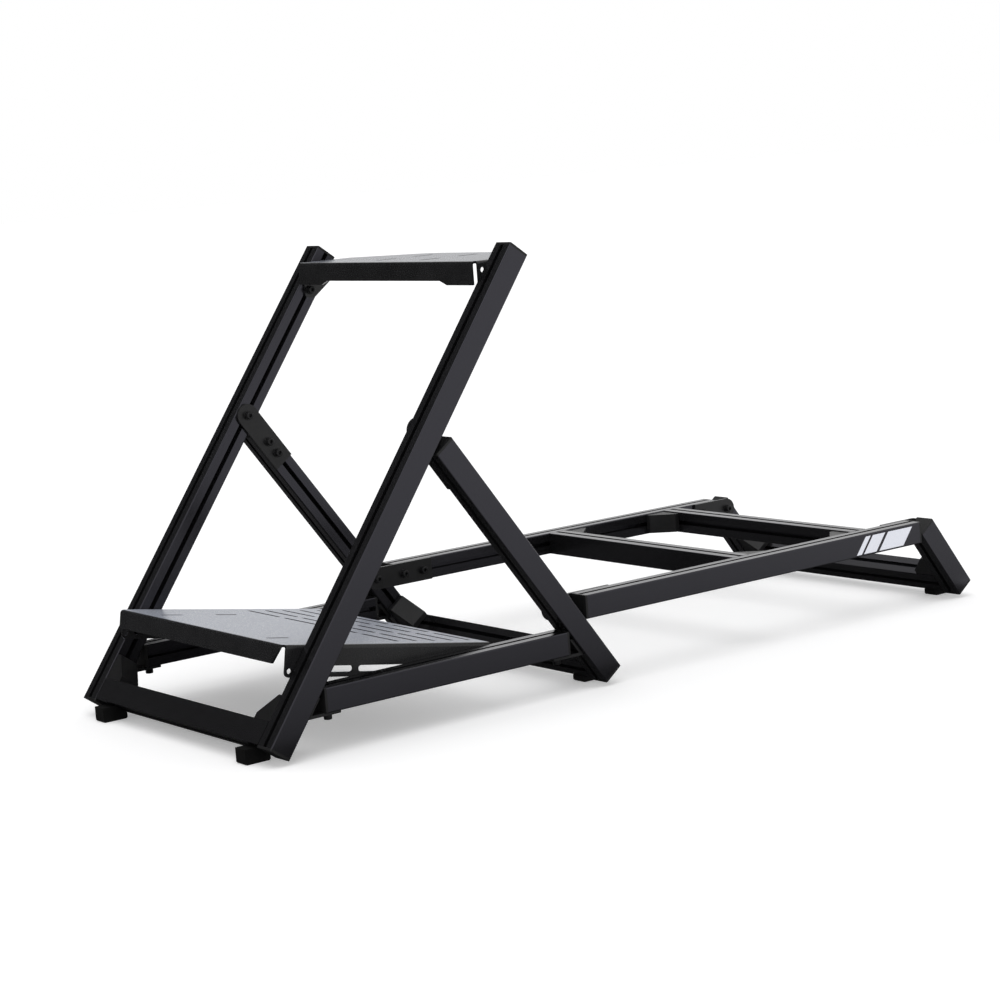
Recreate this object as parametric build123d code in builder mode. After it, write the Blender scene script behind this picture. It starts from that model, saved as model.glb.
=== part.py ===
"""Racing wheel stand with a seat frame, of black slotted aluminium bar and two folded decks.

Two like side frames stand 520 mm apart. Each has an upright that leans back, a rear leg that
leans forward to meet it, a low base rail between the two, and a seat rail that runs back from
the leg to a short tail leg. Crossbars, a wheel deck and a pedal deck tie the sides together.
"""
import os
from math import cos, radians, sin, tan

from build123d import *

# Driving dimensions in millimetres and degrees
bar = 40.0
bar_corner = 2.0
slot_mouth = 8.2
slot_lip = 4.5
slot_width = 20.0
slot_shoulder = 2.5
slot_depth = 12.0
slot_floor = 10.0
cap_thickness = 4.0
cap_chamfer = 1.5

inner_width = 520.0
lean = 36.1
ground_gap = 7.0
upright_length = 896.5
base_spread = 631.0
base_rail_height = 67.0
seat_rail_height = 121.5
seat_rail_length = 806.0
tail_leg_length = 163.0
seat_bar_front = 369.5
seat_bar_rear_gap = 103.0
leg_clearance = 4.5
fit = 0.2

plate_thickness = 5.0
bolt_hole = 8.4
leg_plate_reach = 113.0
leg_plate_bolts = (63.5, 90.5)
rail_plate_reach = 124.0
rail_plate_bolts = (60.0, 103.0)
tail_plate_reach = 85.0
tail_plate_bolts = (62.0,)

strap_thickness = 5.0
strap_width = 28.0
strap_reach = 31.0
strap_rise = 25.0

bracket_size = 45.0
bracket_toe = 9.0
bracket_width = 36.0
bracket_wall = 3.0

foot_width = 28.0
foot_height = 25.0
foot_nose = 10.0
foot_heel = 3.0
foot_bevel = 2.5
foot_inset = 33.0

sheet = 4.0
bend_radius = 2.0
wheel_deck_height = 728.5
wheel_deck_front = 446.0
wheel_deck_depth = 194.5
wheel_side_depth = 106.0
wheel_rear_width = 250.0
wheel_rear_radius = 111.0
wheel_front_flange = 31.5
wheel_tab_drop = 7.0
wheel_tab_width = 70.0
wheel_tab_slope = 19.0
wheel_side_flange = 63.0
wheel_gusset_foot = 30.0
wheel_gusset_radius = 6.5
wheel_relief = 4.0
wheel_setback = 10.3
wheel_hole = 9.0
wheel_hole_back = 20.0
wheel_hole_drop = 15.0
wheel_hole_pitch = 34.0
wheel_slot = 8.5
wheel_slot_length = 42.0
wheel_slot_pitch_x = 130.0
wheel_slot_pitch_y = 78.0

pedal_deck_height = 177.8
pedal_deck_front = 29.5
pedal_deck_tilt = 9.8
pedal_deck_depth = 401.5
pedal_front_flange = 31.5
pedal_flange_cut = 20.5
pedal_side_flange = 50.5
pedal_relief = 7.5
pedal_setback = 8.0
pedal_row_slot = 7.0
pedal_slot_chamfer = 2.0
pedal_row_slot_length = 102.0
pedal_row_pitch_x = 118.0
pedal_columns = 4
pedal_rows = 5
pedal_row_pitch_y = 36.0
pedal_row_margin = 18.5
pedal_heel_slot_length = 42.0
pedal_heel_slot_x = 166.0
pedal_heel_slots = (50.5, 156.5)
pedal_side_slots = 3
pedal_side_slot = 10.0
pedal_side_slot_front = 30.5
pedal_side_slot_rear = 40.5
pedal_side_slot_gap = 10.0
pedal_side_slot_drop = 38.0
pedal_tab_hole = 9.0
pedal_tab_hole_back = 16.0
pedal_tab_hole_drop = 40.5
pedal_tab_radius = 8.0

# Side view layout: y runs to the rear from the lowest corner of the uprights
lean_sin = sin(radians(lean))
lean_cos = cos(radians(lean))
lean_tan = tan(radians(lean))
half_inner = inner_width / 2
side_centre = half_inner + bar / 2
leg_length = base_spread / 2 / lean_sin - leg_clearance
base_rail_top = base_rail_height + bar
base_rail_start = (base_rail_top - ground_gap) * lean_tan + fit
seat_rail_start = (
    base_spread + bar * lean_cos - (seat_rail_height - ground_gap - bar * lean_sin) * lean_tan + fit
)
seat_rail_end = seat_rail_start + seat_rail_length
tail_spread = seat_rail_end + fit + tail_leg_length * lean_sin
front_end = -bar * lean_cos - foot_nose
rear_end = tail_spread + bar * lean_cos + foot_nose
middle = (front_end + rear_end) / 2
crossbar_underside = ground_gap + cap_thickness / lean_cos

sides = {"left": -1, "right": 1}
os.makedirs("parts", exist_ok=True)


def point(x, y, z):
    """A point of the layout, moved so that the origin lies under the middle of the stand."""
    return (x, y - middle, z)


def leaning_plane(x, lowest_y, back):
    """Plane of a leaning bar's lower end: z runs up the bar, y to its rear face.

    back is 1 for a bar whose top leans to the rear and -1 for one whose top leans forward.
    """
    centre_y = lowest_y - back * bar / 2 * lean_cos
    centre_z = ground_gap + bar / 2 * lean_sin
    return Plane(
        origin=point(x, centre_y, centre_z), x_dir=(1, 0, 0), z_dir=(0, back * lean_sin, lean_cos)
    )


def rail_plane(x, start_y, bottom_z):
    """Plane of a level rail's front end: z runs to the rear, y points down."""
    return Plane(origin=point(x, start_y, bottom_z + bar / 2), x_dir=(1, 0, 0), z_dir=(0, 1, 0))


def low_crossbar_plane(lowest_y, back):
    """Plane of a crossbar's left end, turned with the leaning bars it joins, just above their caps."""
    end = leaning_plane(-half_inner, lowest_y, back).offset(cap_thickness + bar / 2)
    return Plane(origin=end.origin, x_dir=end.y_dir, z_dir=(1, 0, 0))


def seat_crossbar_plane(front_y):
    """Plane of a seat crossbar's left end, level with the seat rails: x points to the rear."""
    return Plane(
        origin=point(-half_inner, front_y + bar / 2, seat_rail_height + bar / 2),
        x_dir=(0, 1, 0),
        z_dir=(1, 0, 0),
    )


def slot_outline(mouth):
    """Half-open T slot on the +x side, or its closed chamber where mouth is zero."""
    face = bar / 2
    neck = face - slot_lip
    with BuildSketch() as slot:
        with BuildLine():
            Polyline(
                (neck, slot_width / 2),
                (neck - slot_shoulder, slot_width / 2),
                (face - slot_depth, slot_floor / 2),
                (face - slot_depth, -slot_floor / 2),
                (neck - slot_shoulder, -slot_width / 2),
                (neck, -slot_width / 2),
                close=True,
            )
        make_face()
        if mouth:
            with Locations((neck + slot_lip / 2, 0)):
                Rectangle(slot_lip, mouth)
    return slot.sketch


def bar_section(closed_angle):
    """Section of the slotted bar, smooth on the side that closed_angle points to."""
    with BuildSketch() as section:
        RectangleRounded(bar, bar, bar_corner)
        for angle in (0, 90, 180, 270):
            mouth = 0 if angle == closed_angle else slot_mouth
            add(slot_outline(mouth), rotation=angle, mode=Mode.SUBTRACT)
    return section.sketch


def outer_angle(side):
    """Section angle of the outer face on a bar whose x runs across the stand."""
    return 0 if side > 0 else 180


def make_bar(name, plane, length, closed_angle, capped):
    """Writes one bar; a capped bar leaves room for a cap at each end."""
    cap = cap_thickness if capped else 0
    with BuildPart() as piece:
        with BuildSketch(plane.offset(cap)):
            add(bar_section(closed_angle))
        extrude(amount=length - 2 * cap)
    piece.part.label = name
    export_step(piece.part, f"parts/{name}.step")


# Side frames: uprights, rear legs, base rails, seat rails and tail legs
base_rail_length = base_spread - 2 * base_rail_start
side_bars = {}
for side_name, side in sides.items():
    x = side * side_centre
    side_bars[side_name] = {
        "upright": (leaning_plane(x, 0, 1), upright_length),
        "rear_leg": (leaning_plane(x, base_spread, -1), leg_length),
        "base_rail": (rail_plane(x, base_rail_start, base_rail_height), base_rail_length),
        "seat_rail": (rail_plane(x, seat_rail_start, seat_rail_height), seat_rail_length),
        "tail_leg": (leaning_plane(x, tail_spread, -1), tail_leg_length),
    }
    for bar_name, (plane, length) in side_bars[side_name].items():
        make_bar(f"{bar_name}_{side_name}", plane, length, outer_angle(side), capped=True)

# End caps of the side frames' bars, one node a side
for side_name in sides:
    with BuildPart() as end_caps:
        for plane, length in side_bars[side_name].values():
            for cap_plane in (plane, plane.offset(length - cap_thickness)):
                with BuildSketch(cap_plane) as cap_outline:
                    Rectangle(bar, bar)
                    chamfer(cap_outline.vertices(), cap_chamfer)
                extrude(amount=cap_thickness)
    end_caps.part.label = f"end_caps_{side_name}"
    export_step(end_caps.part, f"parts/end_caps_{side_name}.step")

# Crossbars between the side frames
make_bar("front_crossbar", low_crossbar_plane(0, 1), inner_width, 180, capped=False)
make_bar("rear_crossbar", low_crossbar_plane(base_spread, -1), inner_width, 0, capped=False)
make_bar("tail_crossbar", low_crossbar_plane(tail_spread, -1), inner_width, 0, capped=False)
seat_front_y = seat_rail_start + seat_bar_front
seat_rear_y = seat_rail_end - seat_bar_rear_gap - bar
make_bar("seat_crossbar_front", seat_crossbar_plane(seat_front_y), inner_width, 180, capped=False)
make_bar("seat_crossbar_rear", seat_crossbar_plane(seat_rear_y), inner_width, 0, capped=False)


def make_joining_plate(name, side, node, direction, reach, bolts):
    """Writes a flat plate on the inner faces of two bars.

    It follows the joined bar from node, where the centre lines cross, along direction for
    reach, and ends in a half round about the bolt at node.
    """
    plane = Plane(
        origin=point(side * half_inner, *node), x_dir=(0, *direction), z_dir=(-side, 0, 0)
    )
    with BuildPart() as plate:
        with BuildSketch(plane):
            Circle(bar / 2)
            with Locations((reach / 2, 0)):
                Rectangle(reach, bar)
            with Locations((0, 0), *[(along, 0) for along in bolts]):
                Circle(bolt_hole / 2, mode=Mode.SUBTRACT)
        extrude(amount=plate_thickness)
    plate.part.label = name
    export_step(plate.part, f"parts/{name}.step")


# Joining plates: leg to upright, seat rail to leg, and seat rail to tail leg
centre_drop = bar / 2 * lean_sin
apex_y = base_spread / 2
apex_z = ground_gap + base_spread / 2 / lean_tan + bar / 2 / lean_sin
seat_centre_z = seat_rail_height + bar / 2
leg_centre_y = base_spread + bar / 2 * lean_cos
leg_node_y = leg_centre_y - (seat_centre_z - ground_gap - centre_drop) * lean_tan
tail_node_y = leg_node_y + tail_spread - base_spread
for side_name, side in sides.items():
    make_joining_plate(
        f"leg_plate_{side_name}", side, (apex_y, apex_z), (lean_sin, -lean_cos),
        leg_plate_reach, leg_plate_bolts,
    )
    make_joining_plate(
        f"seat_plate_{side_name}", side, (leg_node_y, seat_centre_z), (1, 0),
        rail_plate_reach, rail_plate_bolts,
    )
    make_joining_plate(
        f"tail_plate_{side_name}", side, (tail_node_y, seat_centre_z), (-1, 0),
        tail_plate_reach, tail_plate_bolts,
    )


def side_view_plane(x):
    """Plane of a side view: x runs to the rear and y up."""
    return Plane(origin=(x, 0, 0), x_dir=(0, 1, 0), z_dir=(1, 0, 0))


def strap_outline(turn):
    """Bent strap under the end of a base rail and up the leaning bar; turn swaps front and rear."""
    under = base_rail_height - strap_thickness
    top = base_rail_height + strap_rise
    across = strap_thickness / lean_cos
    end = base_rail_start + strap_reach
    corners = (
        ((under - ground_gap) * lean_tan, under),
        (end, under),
        (end, base_rail_height),
        ((base_rail_height - ground_gap) * lean_tan + across, base_rail_height),
        ((top - ground_gap) * lean_tan + across, top),
        ((top - ground_gap) * lean_tan, top),
    )
    return [(turn(y) - middle, z) for y, z in corners]


def same(y):
    return y


def from_leg(y):
    return base_spread - y


# Bent straps that hold the base rails to the uprights and to the rear legs
for side_name, side in sides.items():
    for end_name, turn in {"front": same, "rear": from_leg}.items():
        with BuildPart() as strap:
            with BuildSketch(side_view_plane(side * side_centre)):
                with BuildLine():
                    Polyline(*strap_outline(turn), close=True)
                make_face()
            extrude(amount=strap_width / 2, both=True)
        strap_name = f"base_strap_{end_name}_{side_name}"
        strap.part.label = strap_name
        export_step(strap.part, f"parts/{strap_name}.step")


def make_corner_bracket(name, side, corner, rise_direction):
    """Writes a hollow corner bracket that seats on a crossbar and on a side frame's inner face.

    corner is the middle of the inside corner and rise_direction points away from the crossbar.
    """
    along = Vector(-side, 0, 0)
    rise = Vector(*rise_direction)
    plane = Plane(origin=corner, x_dir=along, z_dir=along.cross(rise))
    inner_toe = bracket_toe - bracket_wall * (2**0.5 - 1)
    inner_size = bracket_size - bracket_wall
    with BuildPart() as bracket:
        with BuildSketch(plane):
            with BuildLine():
                Polyline(
                    (0, 0),
                    (bracket_size, 0),
                    (bracket_size, bracket_toe),
                    (bracket_toe, bracket_size),
                    (0, bracket_size),
                    close=True,
                )
            make_face()
        extrude(amount=bracket_width / 2, both=True)
        with BuildSketch(plane):
            with BuildLine():
                Polyline(
                    (0, 0),
                    (inner_size, 0),
                    (inner_size, inner_toe),
                    (inner_toe, inner_size),
                    (0, inner_size),
                    close=True,
                )
            make_face()
        extrude(amount=bracket_width / 2 - bracket_wall, both=True, mode=Mode.SUBTRACT)
    bracket.part.label = name
    export_step(bracket.part, f"parts/{name}.step")


# Corner brackets at both ends of each crossbar
for side_name, side in sides.items():
    for bracket_name, lowest_y, back in (
        ("front", 0, 1),
        ("rear", base_spread, -1),
        ("tail", tail_spread, -1),
    ):
        seat_plane = leaning_plane(side * half_inner, lowest_y, back).offset(cap_thickness + bar)
        make_corner_bracket(
            f"{bracket_name}_bracket_{side_name}", side, seat_plane.origin, seat_plane.z_dir
        )
    make_corner_bracket(
        f"seat_front_bracket_{side_name}", side,
        point(side * half_inner, seat_front_y + bar, seat_centre_z), (0, 1, 0),
    )
    make_corner_bracket(
        f"seat_rear_bracket_{side_name}", side,
        point(side * half_inner, seat_rear_y, seat_centre_z), (0, -1, 0),
    )


def foot_outline(turn):
    """Wedge foot whose sloped top seats on the underside of a leaning crossbar."""
    nose = front_end
    shelf = (crossbar_underside - foot_height) / lean_tan
    corners = (
        (nose + foot_bevel, 0),
        (foot_heel - foot_bevel, 0),
        (foot_heel, foot_bevel),
        (foot_heel, crossbar_underside - foot_heel * lean_tan),
        (shelf, foot_height),
        (nose, foot_height),
        (nose, foot_bevel),
    )
    return [(turn(y) - middle, z) for y, z in corners]


def from_tail(y):
    return tail_spread - y


# Rubber feet under the ends of the three low crossbars
for side_name, side in sides.items():
    for foot_name, turn in {"front": same, "middle": from_leg, "tail": from_tail}.items():
        with BuildPart() as foot:
            with BuildSketch(side_view_plane(side * (half_inner - foot_inset))):
                with BuildLine():
                    Polyline(*foot_outline(turn), close=True)
                make_face()
            extrude(amount=foot_width / 2, both=True)
        foot.part.label = f"{foot_name}_foot_{side_name}"
        export_step(foot.part, f"parts/{foot_name}_foot_{side_name}.step")


def deck_plane(front_y, height, tilt):
    """Plane of a deck's top at its front edge: y runs down the deck to the rear."""
    return Plane(
        origin=point(0, front_y, height),
        x_dir=(1, 0, 0),
        z_dir=(0, sin(radians(tilt)), cos(radians(tilt))),
    )


def front_flange_plane(deck):
    """Outer face of a deck's front flange: x across and y up."""
    return Plane(origin=deck.origin, x_dir=deck.x_dir, z_dir=-deck.y_dir)


def side_flange_plane(deck, x):
    """Face of a deck's side flange at x across the deck: x runs to the rear and y up."""
    return Plane(origin=deck.from_local_coords((x, 0, 0)), x_dir=deck.y_dir, z_dir=deck.x_dir)


def folded_sheet(deck, depth, front_drop, side_drop, relief, setback):
    """Sheet folded down at the front and at both sides, open below and at the rear.

    The bends are rounded. The front flange stops relief short of the deck's sides, and the
    side flanges start at setback behind its outer face.
    """
    bend_zone = sheet + bend_radius
    front_half = half_deck - relief
    channel_plane = Plane(
        origin=deck.from_local_coords((0, setback, 0)), x_dir=deck.x_dir, z_dir=deck.y_dir
    )
    with BuildPart() as folded:
        with BuildSketch(channel_plane) as channel:
            with Locations((0, side_drop / 2)):
                Rectangle(2 * half_deck, side_drop)
            with Locations((0, (side_drop + sheet) / 2)):
                Rectangle(2 * (half_deck - sheet), side_drop - sheet, mode=Mode.SUBTRACT)
            fillet(channel.vertices().group_by(Axis.Y)[1], bend_radius)
            fillet(channel.vertices().group_by(Axis.Y)[0], bend_zone)
        extrude(amount=depth - setback)
        with BuildSketch(side_flange_plane(deck, -front_half)) as front:
            with BuildLine():
                Polyline(
                    (setback, 0),
                    (0, 0),
                    (0, -front_drop),
                    (sheet, -front_drop),
                    (sheet, -sheet),
                    (setback, -sheet),
                    close=True,
                )
            make_face()
            fillet(front.vertices().sort_by_distance((sheet, -sheet))[0], bend_radius)
            fillet(front.vertices().sort_by_distance((0, 0))[0], bend_zone)
        extrude(amount=2 * front_half)
    return folded.part


half_deck = half_inner - fit

# Wheel deck: level folded sheet near the tops of the uprights, tapered to the rear
wheel_top = deck_plane(wheel_deck_front, wheel_deck_height, 0)
wheel_tab_start = half_deck - wheel_relief - wheel_tab_width
wheel_tab_depth = wheel_front_flange + wheel_tab_drop
wheel_blank = folded_sheet(
    wheel_top, wheel_deck_depth, wheel_tab_depth, wheel_side_flange, wheel_relief, wheel_setback
)
with BuildPart() as wheel_deck:
    add(wheel_blank)
    with BuildSketch(wheel_top) as wheel_outline:
        with BuildLine():
            Polyline(
                (-half_deck, 0),
                (-half_deck, wheel_side_depth),
                (-wheel_rear_width / 2, wheel_deck_depth),
                (wheel_rear_width / 2, wheel_deck_depth),
                (half_deck, wheel_side_depth),
                (half_deck, 0),
                close=True,
            )
        make_face()
        fillet(wheel_outline.vertices().group_by(Axis.Y)[-1], wheel_rear_radius)
    extrude(amount=-wheel_side_flange, mode=Mode.INTERSECT)
    with BuildSketch(side_flange_plane(wheel_top, 0)) as gusset_cut:
        with BuildLine():
            Polyline(
                (wheel_side_depth, -sheet - bend_radius),
                (wheel_gusset_foot, -wheel_side_flange),
                (wheel_deck_depth, -wheel_side_flange),
                (wheel_deck_depth, -sheet - bend_radius),
                close=True,
            )
        make_face()
        for drop in (wheel_hole_drop, wheel_hole_drop + wheel_hole_pitch):
            with Locations((wheel_hole_back, -drop)):
                Circle(wheel_hole / 2)
        with Locations((wheel_hole_back + wheel_hole_pitch * lean_tan, -wheel_hole_drop)):
            Circle(wheel_hole / 2)
    extrude(amount=half_deck, both=True, mode=Mode.SUBTRACT)
    for end in (-1, 1):
        for foot in (wheel_setback, wheel_gusset_foot):
            corner = wheel_top.from_local_coords((end * half_deck, foot, -wheel_side_flange))
            corner_edges = wheel_deck.edges().filter_by(Axis.X).sort_by_distance(corner)
            fillet(corner_edges[0], wheel_gusset_radius)
    with BuildSketch(wheel_top):
        with Locations((0, wheel_deck_depth / 2)):
            with GridLocations(wheel_slot_pitch_x, wheel_slot_pitch_y, 2, 2):
                SlotOverall(wheel_slot_length, wheel_slot, rotation=90)
    extrude(amount=-sheet, mode=Mode.SUBTRACT)
    with BuildSketch(front_flange_plane(wheel_top)):
        with BuildLine():
            Polyline(
                (wheel_tab_start, -wheel_tab_depth),
                (wheel_tab_start - wheel_tab_slope, -wheel_front_flange),
                (wheel_tab_slope - wheel_tab_start, -wheel_front_flange),
                (-wheel_tab_start, -wheel_tab_depth),
                close=True,
            )
        make_face()
    extrude(amount=-sheet, mode=Mode.SUBTRACT)
wheel_deck.part.label = "wheel_deck"
export_step(wheel_deck.part, "parts/wheel_deck.step")

# Pedal deck: tilted folded sheet with rows of slots, held by its slotted side flanges.
# Only the right end of its front flange is cut at a slant.
pedal_top = deck_plane(pedal_deck_front, pedal_deck_height, pedal_deck_tilt)
pedal_flange_half = half_deck - pedal_relief
pedal_row_y = pedal_deck_depth - pedal_row_margin - pedal_row_pitch_y * (pedal_rows - 1) / 2
pedal_side_slot_run = pedal_deck_depth - pedal_side_slot_front - pedal_side_slot_rear
pedal_side_slot_middle = pedal_side_slot_front + pedal_side_slot_run / 2
pedal_side_slot_pitch = (pedal_side_slot_run + pedal_side_slot_gap) / pedal_side_slots
pedal_blank = folded_sheet(
    pedal_top, pedal_deck_depth, pedal_front_flange, pedal_side_flange, pedal_relief, pedal_setback
)
with BuildPart() as pedal_deck:
    add(pedal_blank)
    with BuildSketch(pedal_top) as pedal_slots:
        with Locations((0, pedal_row_y)):
            with GridLocations(pedal_row_pitch_x, pedal_row_pitch_y, pedal_columns, pedal_rows):
                Rectangle(pedal_row_slot_length, pedal_row_slot)
        for back in pedal_heel_slots:
            with Locations((-pedal_heel_slot_x, back), (pedal_heel_slot_x, back)):
                Rectangle(pedal_row_slot, pedal_heel_slot_length)
        chamfer(pedal_slots.vertices(), pedal_slot_chamfer)
    extrude(amount=-sheet, mode=Mode.SUBTRACT)
    with BuildSketch(front_flange_plane(pedal_top)):
        with BuildLine():
            Polyline(
                (pedal_flange_half, -sheet - bend_radius),
                (pedal_flange_half, -pedal_front_flange),
                (pedal_flange_half - pedal_flange_cut, -pedal_front_flange),
                close=True,
            )
        make_face()
    extrude(amount=-sheet, mode=Mode.SUBTRACT)
    with BuildSketch(side_flange_plane(pedal_top, 0)):
        with Locations((pedal_side_slot_middle, -pedal_side_slot_drop)):
            with GridLocations(pedal_side_slot_pitch, 1, pedal_side_slots, 1):
                SlotOverall(pedal_side_slot_pitch - pedal_side_slot_gap, pedal_side_slot)
        with Locations((pedal_tab_hole_back, -pedal_tab_hole_drop)):
            Circle(pedal_tab_hole / 2)
    extrude(amount=half_deck, both=True, mode=Mode.SUBTRACT)
    for end in (-1, 1):
        tab_corner = (end * half_deck, pedal_setback, -pedal_side_flange)
        corner_edges = pedal_deck.edges().filter_by(Axis.X)
        fillet(corner_edges.sort_by_distance(pedal_top.from_local_coords(tab_corner))[0], pedal_tab_radius)
pedal_deck.part.label = "pedal_deck"
export_step(pedal_deck.part, "parts/pedal_deck.step")
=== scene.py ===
import math

import bpy
import numpy as np
from mathutils import Matrix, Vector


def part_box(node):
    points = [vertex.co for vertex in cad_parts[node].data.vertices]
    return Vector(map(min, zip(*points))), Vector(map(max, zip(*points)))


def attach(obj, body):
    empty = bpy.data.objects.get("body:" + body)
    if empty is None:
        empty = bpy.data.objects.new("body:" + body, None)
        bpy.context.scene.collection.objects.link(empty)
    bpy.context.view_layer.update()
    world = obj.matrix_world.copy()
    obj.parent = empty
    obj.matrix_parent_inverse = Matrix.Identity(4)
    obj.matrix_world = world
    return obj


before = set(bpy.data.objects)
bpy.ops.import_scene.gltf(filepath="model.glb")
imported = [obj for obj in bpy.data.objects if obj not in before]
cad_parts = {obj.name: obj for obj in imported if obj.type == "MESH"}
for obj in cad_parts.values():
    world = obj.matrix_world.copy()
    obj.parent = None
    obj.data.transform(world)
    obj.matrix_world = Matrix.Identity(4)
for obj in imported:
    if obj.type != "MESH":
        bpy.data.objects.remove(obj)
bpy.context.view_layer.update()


# Side frame bars
# Extruded aluminium bar, anodised satin black after drawing. The die leaves faint lines along each bar.
# The uprights lean back, the legs and tail legs lean forward, and the rails lie level between them.
noise_low = 0.3
noise_high = 0.7
bar_dark = (0.0046, 0.0046, 0.0048)
bar_light = (0.0062, 0.0062, 0.0065)
bar_rough = (0.18, 0.25)
bar_gloss = 0.53
bar_tint = (0.86, 0.845, 1.0, 1)
line_width = 0.0012
line_stretch = 0.006
line_share = 0.55
line_strength = 0.04
line_relief = 0.00006
cloud_width = 0.09
cloud_share = 0.45
lean = math.radians(36.1)
along_y = (math.pi / 2, 0, 0)


def add_node(tree, kind, **values):
    """One shader node of that kind, with the named values set on its sockets."""
    node = tree.nodes.new(kind)
    for name, value in values.items():
        node.inputs[name.replace("_", " ")].default_value = value
    return node


def new_finish(name):
    """A new node material, its node tree and its surface shader."""
    material = bpy.data.materials.new(name)
    material.use_nodes = True
    return material, material.node_tree, material.node_tree.nodes["Principled BSDF"]


def reckon(tree, operation, *values):
    """One step of arithmetic on the values, each a socket or a number."""
    step = tree.nodes.new("ShaderNodeMath")
    step.operation = operation
    for slot, value in zip(step.inputs, values):
        if isinstance(value, (int, float)):
            slot.default_value = value
        else:
            tree.links.new(value, slot)
    return step.outputs["Value"]


def tone_between(tree, noise, dark, light):
    """A colour that goes from dark to light over the middle of the noise's range."""
    ramp = tree.nodes.new("ShaderNodeValToRGB")
    ramp.color_ramp.elements[0].position = noise_low
    ramp.color_ramp.elements[0].color = (*dark, 1)
    ramp.color_ramp.elements[1].position = noise_high
    ramp.color_ramp.elements[1].color = (*light, 1)
    tree.links.new(noise, ramp.inputs["Fac"])
    return ramp.outputs["Color"]


def number_between(tree, noise, least, most):
    """A number that goes from least to most over the middle of the noise's range."""
    spread = add_node(tree, "ShaderNodeMapRange", From_Min=noise_low, From_Max=noise_high,
                      To_Min=least, To_Max=most)
    tree.links.new(noise, spread.inputs["Value"])
    return spread.outputs["Result"]


def raise_surface(tree, shader, noise, strength, height):
    """Gives the shader a relief of that height from the noise."""
    bump = add_node(tree, "ShaderNodeBump", Strength=strength, Distance=height)
    tree.links.new(noise, bump.inputs["Height"])
    tree.links.new(bump.outputs["Normal"], shader.inputs["Normal"])


def anodised_bar(name, turn):
    """Black anodising with drawn lines. The turn lays the bar's length along the pattern's third axis,
    which is then shrunk, so that the noise becomes long lines along the bar. Lines and clouds are added
    by their shares to give the tone and the roughness, and the lines alone give the relief."""
    material, tree, shader = new_finish(name)
    place = tree.nodes.new("ShaderNodeTexCoord").outputs["Object"]
    turned = add_node(tree, "ShaderNodeMapping", Rotation=turn)
    drawn = add_node(tree, "ShaderNodeMapping", Scale=(1, 1, line_stretch))
    lines = add_node(tree, "ShaderNodeTexNoise", Scale=1 / line_width, Detail=3, Roughness=0.55)
    clouds = add_node(tree, "ShaderNodeTexNoise", Scale=1 / cloud_width, Detail=4, Roughness=0.6)
    tree.links.new(place, turned.inputs["Vector"])
    tree.links.new(turned.outputs["Vector"], drawn.inputs["Vector"])
    tree.links.new(drawn.outputs["Vector"], lines.inputs["Vector"])
    tree.links.new(place, clouds.inputs["Vector"])
    cloud_part = reckon(tree, "MULTIPLY", clouds.outputs["Fac"], cloud_share)
    both = reckon(tree, "MULTIPLY_ADD", lines.outputs["Fac"], line_share, cloud_part)
    tree.links.new(tone_between(tree, both, bar_dark, bar_light), shader.inputs["Base Color"])
    tree.links.new(number_between(tree, both, *bar_rough), shader.inputs["Roughness"])
    shader.inputs["Specular IOR Level"].default_value = bar_gloss
    shader.inputs["Specular Tint"].default_value = bar_tint
    raise_surface(tree, shader, lines.outputs["Fac"], line_strength, line_relief)
    return material


def finish_nodes(material, *names):
    """Puts the material on CAD nodes."""
    for name in names:
        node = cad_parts[name]
        node.data.materials.clear()
        node.data.materials.append(material)


finish_nodes(anodised_bar("anodised_upright", (lean, 0, 0)), "upright_left", "upright_right")
finish_nodes(anodised_bar("anodised_leg", (-lean, 0, 0)), "rear_leg_left", "rear_leg_right",
             "tail_leg_left", "tail_leg_right")
finish_nodes(anodised_bar("anodised_rail", along_y), "base_rail_left", "base_rail_right", "seat_rail_left")


# Right seat rail with its stripe
# The same bar as the left one, with three slanted blocks of white ink printed on the smooth outer side
# near the rear end. The ink is thin and keeps the gloss of the anodising under it.
print_skin = 0.0004
print_gap_below = 0.0035
print_gap_above = 0.0050
print_slant = 0.80
print_blocks = ((0.4804, 0.4930), (0.4989, 0.5309), (0.5387, 0.6018))
ink_dark = (0.78, 0.80, 0.87)
ink_light = (0.85, 0.87, 0.93)
ink_grain = 0.0025


def within(tree, value, low, high):
    """One where the value lies between low and high, and zero elsewhere."""
    above = reckon(tree, "GREATER_THAN", value, low)
    return reckon(tree, "MULTIPLY", above, reckon(tree, "LESS_THAN", value, high))


rail_low, rail_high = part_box("seat_rail_right")
striped = anodised_bar("anodised_rail_striped", along_y)
rail_tree = striped.node_tree
rail_colour = rail_tree.nodes["Principled BSDF"].inputs["Base Color"]
rail_place = rail_tree.nodes.new("ShaderNodeTexCoord").outputs["Object"]
rail_spot = rail_tree.nodes.new("ShaderNodeSeparateXYZ")
rail_tree.links.new(rail_place, rail_spot.inputs["Vector"])
rise = reckon(rail_tree, "SUBTRACT", rail_spot.outputs["Z"], rail_low.z)
slanted = reckon(rail_tree, "MULTIPLY", rise, print_slant)
lengthwise = reckon(rail_tree, "SUBTRACT", rail_spot.outputs["Y"], slanted)
blocks = 0.0
for begin, end in print_blocks:
    blocks = reckon(rail_tree, "ADD", blocks, within(rail_tree, lengthwise, begin, end))
band = within(rail_tree, rail_spot.outputs["Z"], rail_low.z + print_gap_below, rail_high.z - print_gap_above)
outer = reckon(rail_tree, "GREATER_THAN", rail_spot.outputs["X"], rail_high.x - print_skin)
printed = reckon(rail_tree, "MULTIPLY", reckon(rail_tree, "MULTIPLY", outer, band), blocks)
speckle = add_node(rail_tree, "ShaderNodeTexNoise", Scale=1 / ink_grain, Detail=3)
rail_tree.links.new(rail_place, speckle.inputs["Vector"])
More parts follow.
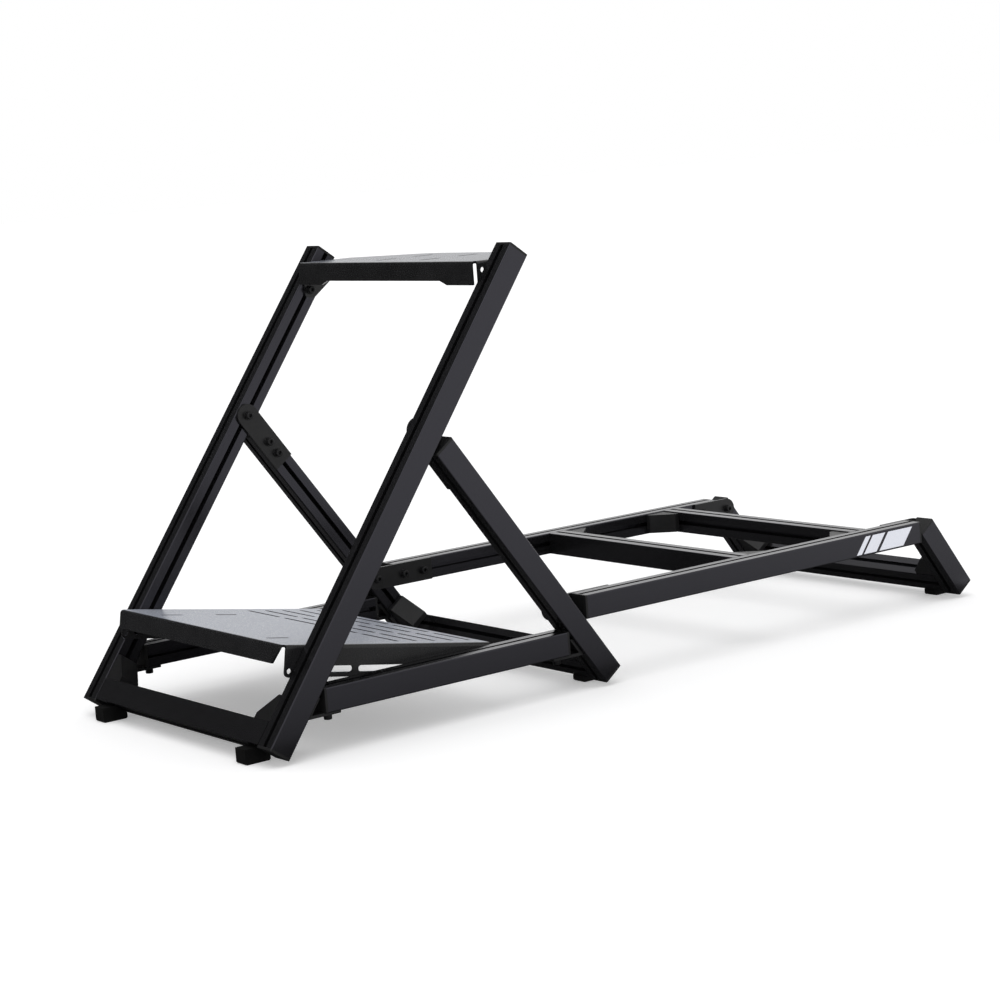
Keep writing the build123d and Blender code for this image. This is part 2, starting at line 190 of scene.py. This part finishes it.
ink = tone_between(rail_tree, speckle.outputs["Fac"], ink_dark, ink_light)
blend = rail_tree.nodes.new("ShaderNodeMix")
blend.data_type = "RGBA"
# Inputs 6 and 7 of this node are its two colours, and output 2 is the colour between them
blend_bare = blend.inputs[6]
blend_ink = blend.inputs[7]
blend_colour = blend.outputs[2]
rail_tree.links.new(printed, blend.inputs["Factor"])
rail_tree.links.new(rail_colour.links[0].from_socket, blend_bare)
rail_tree.links.new(ink, blend_ink)
rail_tree.links.new(blend_colour, rail_colour)
finish_nodes(striped, "seat_rail_right")


# Crossbars
# The same slotted bar cut to the inner width. The low ones are turned with the leaning bars,
# and the seat crossbars lie square between the seat rails.
along_x = (0, -math.pi / 2, 0)
finish_nodes(anodised_bar("anodised_crossbar", along_x), "front_crossbar", "rear_crossbar",
             "tail_crossbar", "seat_crossbar_front", "seat_crossbar_rear")


# End caps
# Moulded black plastic covers pressed into the cut ends of the bars.
# They are duller than the bar and have a fine spark grain.
patch_scale = 22
grain_strength = 0.25


def grained(name, dark, light, grain_width, rough, gloss, relief):
    """A black finish with an even grain. Noise of that width sets the roughness and the relief,
    and wide patches set the tone."""
    material, tree, shader = new_finish(name)
    place = tree.nodes.new("ShaderNodeTexCoord").outputs["Object"]
    grain = add_node(tree, "ShaderNodeTexNoise", Scale=1 / grain_width, Detail=3, Roughness=0.5)
    patches = add_node(tree, "ShaderNodeTexNoise", Scale=patch_scale, Detail=4, Roughness=0.6)
    tree.links.new(place, grain.inputs["Vector"])
    tree.links.new(place, patches.inputs["Vector"])
    tree.links.new(tone_between(tree, patches.outputs["Fac"], dark, light), shader.inputs["Base Color"])
    tree.links.new(number_between(tree, grain.outputs["Fac"], *rough), shader.inputs["Roughness"])
    shader.inputs["Specular IOR Level"].default_value = gloss
    raise_surface(tree, shader, grain.outputs["Fac"], grain_strength, relief)
    return material


cap_finish = grained("cap_plastic", dark=(0.0070, 0.0070, 0.0074), light=(0.0115, 0.0115, 0.0120),
                     grain_width=0.0007, rough=(0.42, 0.54), gloss=0.24, relief=0.00006)
finish_nodes(cap_finish, "end_caps_left", "end_caps_right")


# Joining plates and their bolts
# Flat steel plates, powder coated black, on the inner sides of the bars where leg, rail and tail meet.
# Each is held by two or three socket head bolts with washers into the nut slots.
sides = (("left", -1), ("right", 1))
coat_dark = (0.0070, 0.0070, 0.0075)
coat_light = (0.0115, 0.0115, 0.0122)
coat_peel = 0.0016
sheet_finish = grained("coated_sheet", coat_dark, coat_light, coat_peel, rough=(0.30, 0.40), gloss=0.30,
                       relief=0.00005)
finish_nodes(sheet_finish, "leg_plate_left", "leg_plate_right", "seat_plate_left", "seat_plate_right",
             "tail_plate_left", "tail_plate_right")

washer_radius = 0.0082
washer_thickness = 0.0014
head_radius = 0.0066
head_height = 0.0080
head_straight = 0.88
crown_radius = 0.0056
socket_half = 0.0030
socket_depth = 0.0042
bolt_edge = 0.0003
bolt_steps = 30
dome_steps = 5
bolt_crease = math.radians(38)
bolt_finish = grained("blackened_bolt", dark=(0.0060, 0.0060, 0.0066), light=(0.0130, 0.0130, 0.0138),
                      grain_width=0.0009, rough=(0.28, 0.38), gloss=0.20, relief=0.00003)


def socket_bolts(name, spots, facing):
    """Bolt heads with washers at the spots. Height and radius follow one profile, from the washer's foot
    over its edge, up the head, over a quarter ellipse to the crown and down into the socket, and turn about
    the bolt's axis. In the socket the radius is that of a hexagon, half its width over the cosine of the
    angle to its flat."""
    turn = np.arange(bolt_steps) * 2 * np.pi / bolt_steps
    to_flat = (turn + np.pi / 6) % (np.pi / 3) - np.pi / 6
    hexagon = socket_half / np.cos(to_flat)
    dome = np.linspace(0, np.pi / 2, dome_steps)
    side = washer_thickness + head_straight * head_height
    top = washer_thickness + head_height
    bottom = top - socket_depth
    dome_radius = crown_radius + (head_radius - crown_radius) * np.cos(dome)
    dome_height = side + (top - side) * np.sin(dome)
    round_radius = [washer_radius, washer_radius, washer_radius - bolt_edge, head_radius, *dome_radius]
    round_rings = np.outer(round_radius, np.ones(bolt_steps))
    radius = np.array([*round_rings, hexagon + bolt_edge, hexagon, hexagon])
    height = np.array([0, washer_thickness - bolt_edge, washer_thickness, washer_thickness, *dome_height,
                       top, top - bolt_edge, bottom])
    rings = len(height)

    spots = np.asarray(spots, float)
    axis = np.asarray(facing, float)
    # The helper is a direction that doesn't lie along the axis
    helper = (0, 1, 0) if axis[0] else (1, 0, 0)
    across = np.cross(axis, helper)
    upward = np.cross(axis, across)
    swing = np.outer(np.cos(turn), across) + np.outer(np.sin(turn), upward)
    profile = height[:, None, None] * axis + radius[:, :, None] * swing
    shell = spots[:, None, None, :] + profile
    middles = spots + bottom * axis
    vertices = np.concatenate([shell.reshape(len(spots), -1, 3), spots[:, None], middles[:, None]], axis=1)

    around = np.arange(bolt_steps)
    ahead = (around + 1) % bolt_steps
    lower = np.arange(rings - 1)[:, None] * bolt_steps
    upper = lower + bolt_steps
    walls = np.stack([lower + around, lower + ahead, upper + ahead, upper + around], axis=-1).reshape(-1, 4)
    foot_middle = rings * bolt_steps
    foot = np.stack([ahead, around, np.full(bolt_steps, foot_middle)], axis=-1)
    last = foot_middle - bolt_steps
    socket = np.stack([last + around, last + ahead, np.full(bolt_steps, foot_middle + 1)], axis=-1)
    shift = np.arange(len(spots))[:, None, None] * (foot_middle + 2)
    faces = [*(walls + shift).reshape(-1, 4).tolist(), *(foot + shift).reshape(-1, 3).tolist(),
             *(socket + shift).reshape(-1, 3).tolist()]

    mesh = bpy.data.meshes.new(name)
    mesh.from_pydata(vertices.reshape(-1, 3).tolist(), [], faces)
    mesh.shade_smooth()
    mesh.set_sharp_from_angle(angle=bolt_crease)
    mesh.materials.append(bolt_finish)
    bolts = bpy.data.objects.new(name, mesh)
    bpy.context.scene.collection.objects.link(bolts)
    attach(bolts, "root")


def plate_bolts(kind, start, direction, reaches):
    """Bolts on the inner faces of both plates of a kind. In the side view they stand at those reaches
    from the start."""
    reach = np.asarray(reaches)
    for word, side in sides:
        low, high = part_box(f"{kind}_{word}")
        inner = low.x if side > 0 else high.x
        spots = np.stack([np.full(len(reach), inner), start[0] + direction[0] * reach,
                          start[1] + direction[1] * reach], axis=-1)
        socket_bolts(f"{kind}_bolts_{word}", spots, (-side, 0, 0))


plate_bolts("leg_plate", start=(-0.4342, 0.4736), direction=(math.sin(lean), -math.cos(lean)),
            reaches=(0, 0.0635, 0.0905))
plate_bolts("seat_plate", start=(-0.1921, 0.1415), direction=(1, 0), reaches=(0, 0.060, 0.103))
plate_bolts("tail_plate", start=(0.6764, 0.1415), direction=(-1, 0), reaches=(0, 0.062))


# Base straps
# Bent flat steel, powder coated, under both ends of each base rail and up the leaning bar.
# One bolt from below goes into the rail's lower slot.
strap_bolt_inset = 0.016
strap_names = [f"base_strap_{end}_{word}" for end in ("front", "rear") for word in ("left", "right")]
finish_nodes(sheet_finish, *strap_names)
strap_spots = []
for strap in strap_names:
    low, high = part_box(strap)
    tip = high.y - strap_bolt_inset if "front" in strap else low.y + strap_bolt_inset
    strap_spots.append(((low.x + high.x) / 2, tip, low.z))
socket_bolts("base_strap_bolts", strap_spots, (0, 0, -1))


# Corner brackets
# Die cast corner pieces, powder coated, in the corners between crossbars and side bars.
# The skin is coarser than that of the folded sheet.
cast_finish = grained("cast_bracket", dark=(0.0070, 0.0070, 0.0074), light=(0.0120, 0.0120, 0.0126),
                      grain_width=0.0024, rough=(0.34, 0.46), gloss=0.24, relief=0.00012)
finish_nodes(cast_finish, *[f"{place}_bracket_{word}" for word in ("left", "right")
                            for place in ("front", "rear", "tail", "seat_front", "seat_rear")])


# Feet
# Moulded rubber blocks screwed under the ends of the low crossbars.
# Dull black with a fine bloom.
rubber_finish = grained("foot_rubber", dark=(0.0045, 0.0045, 0.0045), light=(0.0080, 0.0080, 0.0080),
                        grain_width=0.0011, rough=(0.60, 0.76), gloss=0.08, relief=0.0001)
finish_nodes(rubber_finish, *[f"{place}_foot_{word}" for word in ("left", "right")
                              for place in ("front", "middle", "tail")])


# Wheel deck
# One folded steel sheet, powder coated, bolted between the uprights by its slanted side flanges.
# Two bolts a side go into the uprights' inner slots, and the third hole stays free for another tilt.
deck_sheet = 0.004
deck_sheen_colour = (0.82, 0.87, 1.0, 1)
deck_sheen_spread = 0.2
# Each bolt's place is its way back from the front and its drop from the top
wheel_bolts = ((0.020, 0.049), (0.0448, 0.015))


def deck_coat(name, sheen):
    """The decks' smooth coat. Seen along the sheet, its fine texture adds that much pale sheen."""
    material = grained(name, coat_dark, coat_light, coat_peel, rough=(0.23, 0.29), gloss=0.33,
                       relief=0.00002)
    shader = material.node_tree.nodes["Principled BSDF"]
    shader.inputs["Sheen Weight"].default_value = sheen
    shader.inputs["Sheen Roughness"].default_value = deck_sheen_spread
    shader.inputs["Sheen Tint"].default_value = deck_sheen_colour
    return material


finish_nodes(deck_coat("coated_wheel_deck", sheen=0.2), "wheel_deck")
wheel_low, wheel_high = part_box("wheel_deck")
wheel_inner = wheel_high.x - deck_sheet
for word, side in sides:
    spots = [(side * wheel_inner, wheel_low.y + back, wheel_high.z - drop) for back, drop in wheel_bolts]
    socket_bolts(f"wheel_deck_bolts_{word}", spots, (-side, 0, 0))


# Pedal deck
# One folded steel sheet like the wheel deck, sloping down to the rear, with rows of slots for pedals.
# A bolt in the first slot of each side flange goes into the upright, and one in the last slot
# goes into the base rail.
pedal_tilt = math.radians(9.8)
pedal_front = (-0.7202, 0.1778)
pedal_drop = 0.038
pedal_bolts = (0.0446, 0.3135)
finish_nodes(deck_coat("coated_pedal_deck", sheen=1.0), "pedal_deck")
pedal_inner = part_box("pedal_deck")[1].x - deck_sheet
for word, side in sides:
    spots = [(side * pedal_inner,
              pedal_front[0] + back * math.cos(pedal_tilt) - pedal_drop * math.sin(pedal_tilt),
              pedal_front[1] - back * math.sin(pedal_tilt) - pedal_drop * math.cos(pedal_tilt))
             for back in pedal_bolts]
    socket_bolts(f"pedal_deck_bolts_{word}", spots, (-side, 0, 0))


# Floor
# A plain pale floor that keeps the stand's shadow. What is seen of it, directly or in a reflection,
# is lifted a little towards white.
floor_half = 40.0
floor_colour = (0.86, 0.86, 0.865, 1)
floor_lift = 0.28
white = (1, 1, 1, 1)


def seen_directly(tree):
    """One where a ray comes from the camera, a reflection or through glass, and zero for stray light."""
    path = tree.nodes.new("ShaderNodeLightPath").outputs
    mirrored = reckon(tree, "MAXIMUM", path["Is Camera Ray"], path["Is Glossy Ray"])
    return reckon(tree, "MAXIMUM", mirrored, path["Is Transmission Ray"])


def dull_finish(name, colour, rough):
    """A finish of that colour with no gloss, with its node tree and its surface shader."""
    material, tree, shader = new_finish(name)
    shader.inputs["Base Color"].default_value = colour
    shader.inputs["Roughness"].default_value = rough
    shader.inputs["Specular IOR Level"].default_value = 0.0
    return material, tree, shader


floor_finish, floor_tree, floor_shader = dull_finish("floor_white", floor_colour, rough=0.9)
floor_shader.inputs["Emission Color"].default_value = white
floor_glow = reckon(floor_tree, "MULTIPLY", seen_directly(floor_tree), floor_lift)
floor_tree.links.new(floor_glow, floor_shader.inputs["Emission Strength"])
floor_mesh = bpy.data.meshes.new("floor")
floor_mesh.from_pydata([(-floor_half, -floor_half, 0), (floor_half, -floor_half, 0),
                        (floor_half, floor_half, 0), (-floor_half, floor_half, 0)], [], [(0, 1, 2, 3)])
floor_mesh.materials.append(floor_finish)
floor = bpy.data.objects.new("floor", floor_mesh)
bpy.context.scene.collection.objects.link(floor)


# Light
# Even white light from all around, weaker overhead, and one wide soft lamp above the front right.
# The background that is seen is plain white.
level_strength = 1.2
zenith_strength = 0.5
lamp_strength = 0.8
lamp_spread = math.radians(50)
lamp_turn = (math.radians(12), math.radians(14), 0)

world = bpy.data.worlds.new("studio")
world.use_nodes = True
bpy.context.scene.world = world
sky_tree = world.node_tree
stray = sky_tree.nodes["Background"]
stray.inputs["Color"].default_value = white
sky_spot = sky_tree.nodes.new("ShaderNodeSeparateXYZ")
sky_place = sky_tree.nodes.new("ShaderNodeTexCoord").outputs["Generated"]
sky_tree.links.new(sky_place, sky_spot.inputs["Vector"])
fade = add_node(sky_tree, "ShaderNodeMapRange", To_Min=level_strength, To_Max=zenith_strength)
sky_tree.links.new(sky_spot.outputs["Z"], fade.inputs["Value"])
sky_tree.links.new(fade.outputs["Result"], stray.inputs["Strength"])
backdrop = add_node(sky_tree, "ShaderNodeBackground", Color=white, Strength=1.0)
choose = sky_tree.nodes.new("ShaderNodeMixShader")
sky_tree.links.new(seen_directly(sky_tree), choose.inputs["Fac"])
sky_tree.links.new(stray.outputs["Background"], choose.inputs[1])
sky_tree.links.new(backdrop.outputs["Background"], choose.inputs[2])
sky_tree.links.new(choose.outputs["Shader"], sky_tree.nodes["World Output"].inputs["Surface"])

overhead = bpy.data.lights.new("overhead", "SUN")
overhead.energy = lamp_strength
overhead.angle = lamp_spread
overhead_lamp = bpy.data.objects.new("overhead", overhead)
overhead_lamp.rotation_euler = lamp_turn
bpy.context.scene.collection.objects.link(overhead_lamp)


# Painted shade in reflections
# A black sheet under the stand and up the left, and one at the right that gets thinner away from the stand
# and to the rear, are painted shade. They show in reflections only, so they darken the bars' faces but not
# the floor.
painted_shade_colour = (0.08, 0.08, 0.08, 1)
shade_sheet_height = 0.002
wall_height = 6
shade_sheet_outline = ((0.42, -7), (0.42, 0.85), (-0.4, 0.85), (-0.6, 0.2), (-3, 0.9), (-3, -7))
wall_outline = ((-3, 0.9), (-3, -7))
shade_outline = ((0.42, -7), (9, -7), (9, 9), (0.42, 9))
shade_strength = 0.56
shade_reach = 0.35
shade_rear_begin = 0.40
shade_rear_end = 1.00
shade_rear_share = 0.70


def lay_painted_shade(name, corners, faces, finish):
    """A sheet of painted shade over those corners, hidden from the camera and from stray light, with no
    shadow.
    """
    mesh = bpy.data.meshes.new(name)
    mesh.from_pydata(corners, [], faces)
    mesh.materials.append(finish)
    shade_sheet = bpy.data.objects.new(name, mesh)
    shade_sheet.visible_camera = False
    shade_sheet.visible_diffuse = False
    shade_sheet.visible_shadow = False
    bpy.context.scene.collection.objects.link(shade_sheet)


shade_sheet_corners = [(x, y, shade_sheet_height) for x, y in shade_sheet_outline]
wall_corners = [(x, y, wall_height) for x, y in wall_outline]
# The black sheet is painted shade that only reflections show
painted_shade_finish = dull_finish("painted_shade_black", painted_shade_colour, rough=1.0)[0]
lay_painted_shade("painted_shade_sheet", shade_sheet_corners + wall_corners, [(0, 1, 2, 3, 4, 5), (5, 4, 6, 7)], painted_shade_finish)

# The fading sheet is painted shade that only reflections show, darkest near the stand
shade_finish, shade_tree, shade_shader = dull_finish("shade_fading", painted_shade_colour, rough=1.0)
shade_spot = shade_tree.nodes.new("ShaderNodeSeparateXYZ")
shade_place = shade_tree.nodes.new("ShaderNodeTexCoord").outputs["Object"]
shade_tree.links.new(shade_place, shade_spot.inputs["Vector"])
away = reckon(shade_tree, "ADD", shade_spot.outputs["X"], shade_reach)
sideways = reckon(shade_tree, "DIVIDE", shade_strength, away)
rearward = add_node(shade_tree, "ShaderNodeMapRange", From_Min=shade_rear_begin, From_Max=shade_rear_end,
                    To_Min=1.0, To_Max=shade_rear_share)
shade_tree.links.new(shade_spot.outputs["Y"], rearward.inputs["Value"])
cover = reckon(shade_tree, "MULTIPLY", sideways, rearward.outputs["Result"])
shade_tree.links.new(cover, shade_shader.inputs["Alpha"])
shade_corners = [(x, y, shade_sheet_height) for x, y in shade_outline]
lay_painted_shade("floor_shade", shade_corners, [(0, 1, 2, 3)], shade_finish)


# Camera
# It stands where the photograph was taken from. The heading turns it to the left of straight ahead,
# the pitch tips it down, and the roll turns the picture.
eye = (3.4139, -2.6459, 0.9180)
heading = math.radians(53.170)
pitch = math.radians(8.364)
roll = math.radians(-4.265)
sensor_width = 36
lens_to_sensor = 2.4468
far_limit = 200

camera = bpy.data.cameras.new("camera")
camera.sensor_width = sensor_width
camera.lens = sensor_width * lens_to_sensor
camera.clip_end = far_limit
onward = np.array([-math.sin(heading) * math.cos(pitch), math.cos(heading) * math.cos(pitch),
                   -math.sin(pitch)])
level_right = np.array([math.cos(heading), math.sin(heading), 0])
level_up = np.cross(level_right, onward)
right = math.cos(roll) * level_right + math.sin(roll) * level_up
up = math.cos(roll) * level_up - math.sin(roll) * level_right
facing = Matrix(np.stack([right, up, -onward], axis=-1).tolist()).to_4x4()
camera_object = bpy.data.objects.new("camera", camera)
camera_object.matrix_world = Matrix.Translation(eye) @ facing
bpy.context.scene.collection.objects.link(camera_object)
bpy.context.scene.camera = camera_object
bpy.context.scene.view_settings.view_transform = "Standard"
